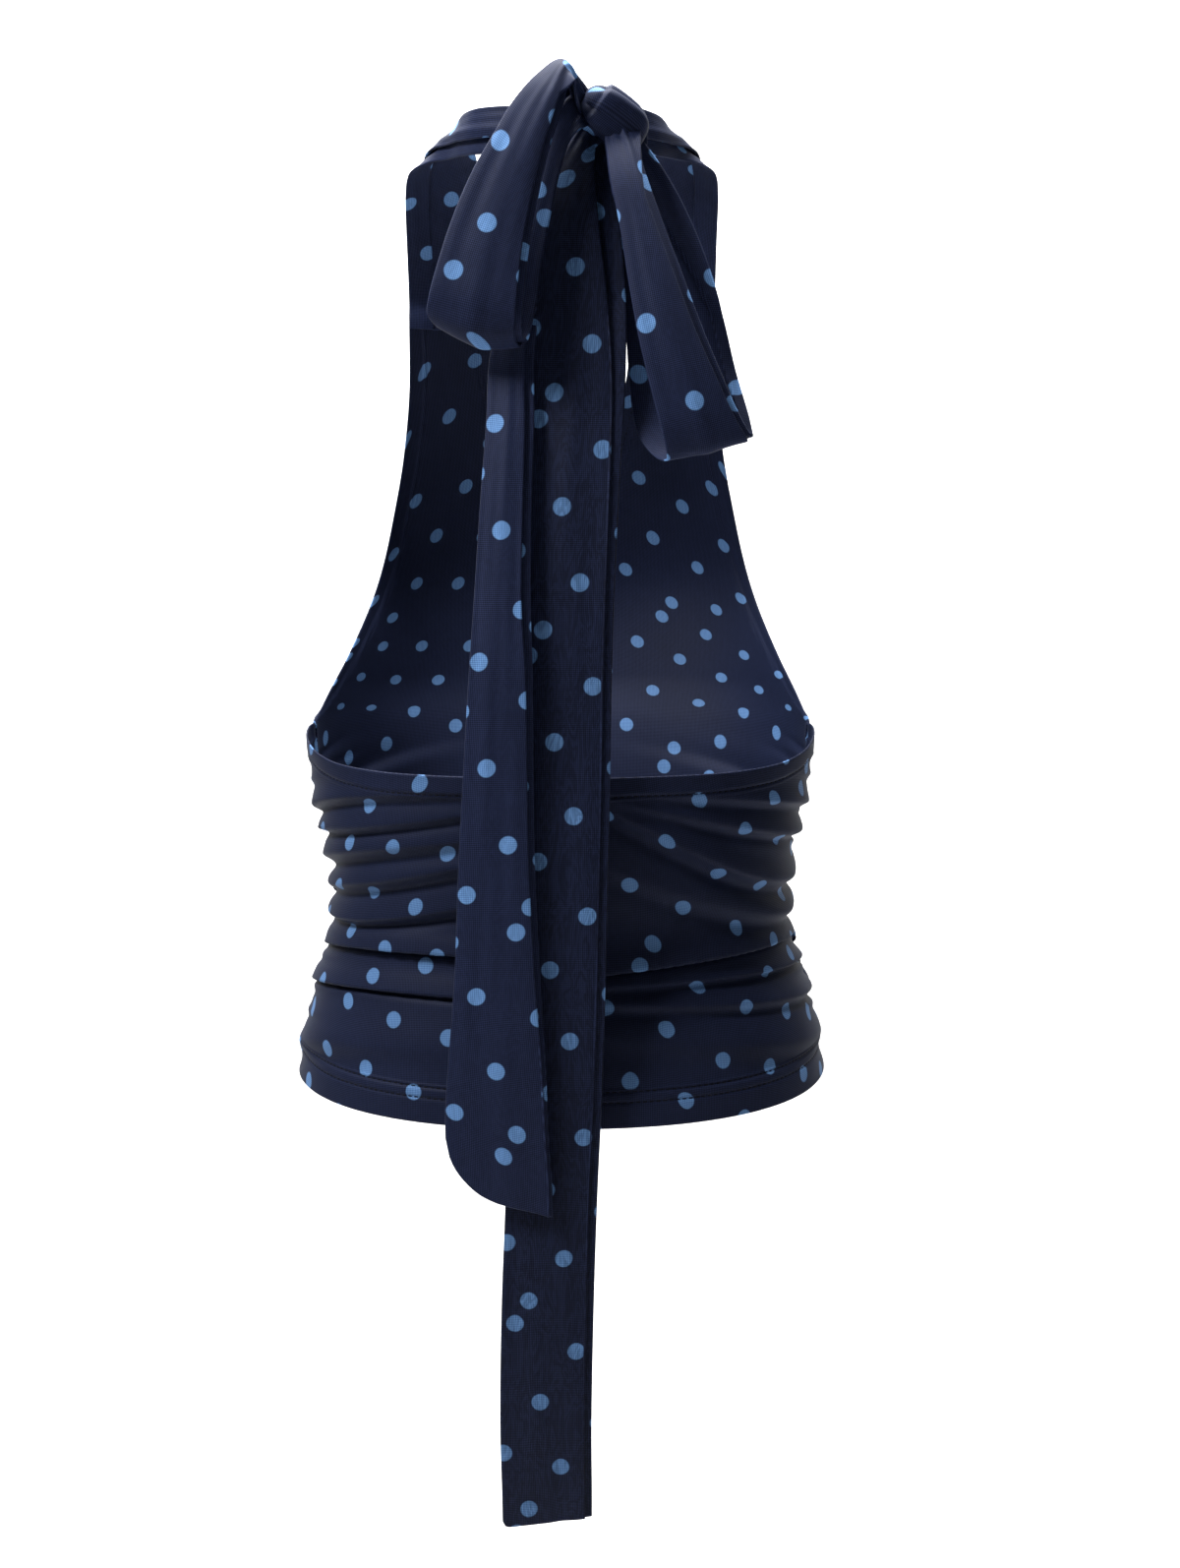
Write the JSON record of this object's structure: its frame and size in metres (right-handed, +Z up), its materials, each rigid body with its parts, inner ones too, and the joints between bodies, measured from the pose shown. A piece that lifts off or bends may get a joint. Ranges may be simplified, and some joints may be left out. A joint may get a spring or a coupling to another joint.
{
  "type": "halter neck top",
  "caption": "Low-backed halter neck top in dotted navy stretch mesh, ruched at the side seams and tied in a loose bow at the nape.",
  "frame": {"origin": "the nape: inner face of the halter tie at the centre back of the neck", "axes": "+Z up, +Y towards the wearer's back, +X towards the wearer's left"},
  "size_m": [0.2716, 0.2491, 0.6449],
  "materials": {
    "dotted_mesh": "fine navy stretch mesh with scattered mid-blue dots and a soft sheen"
  },
  "bodies": {
    "root": {"front_panel": "dotted_mesh", "back_panel": "dotted_mesh", "neck_strap_left": "dotted_mesh", "neck_strap_right": "dotted_mesh", "knot": "dotted_mesh", "loop_left": "dotted_mesh", "loop_right": "dotted_mesh", "tail_left": "dotted_mesh", "tail_right": "dotted_mesh"}
  },
  "joints": []
}
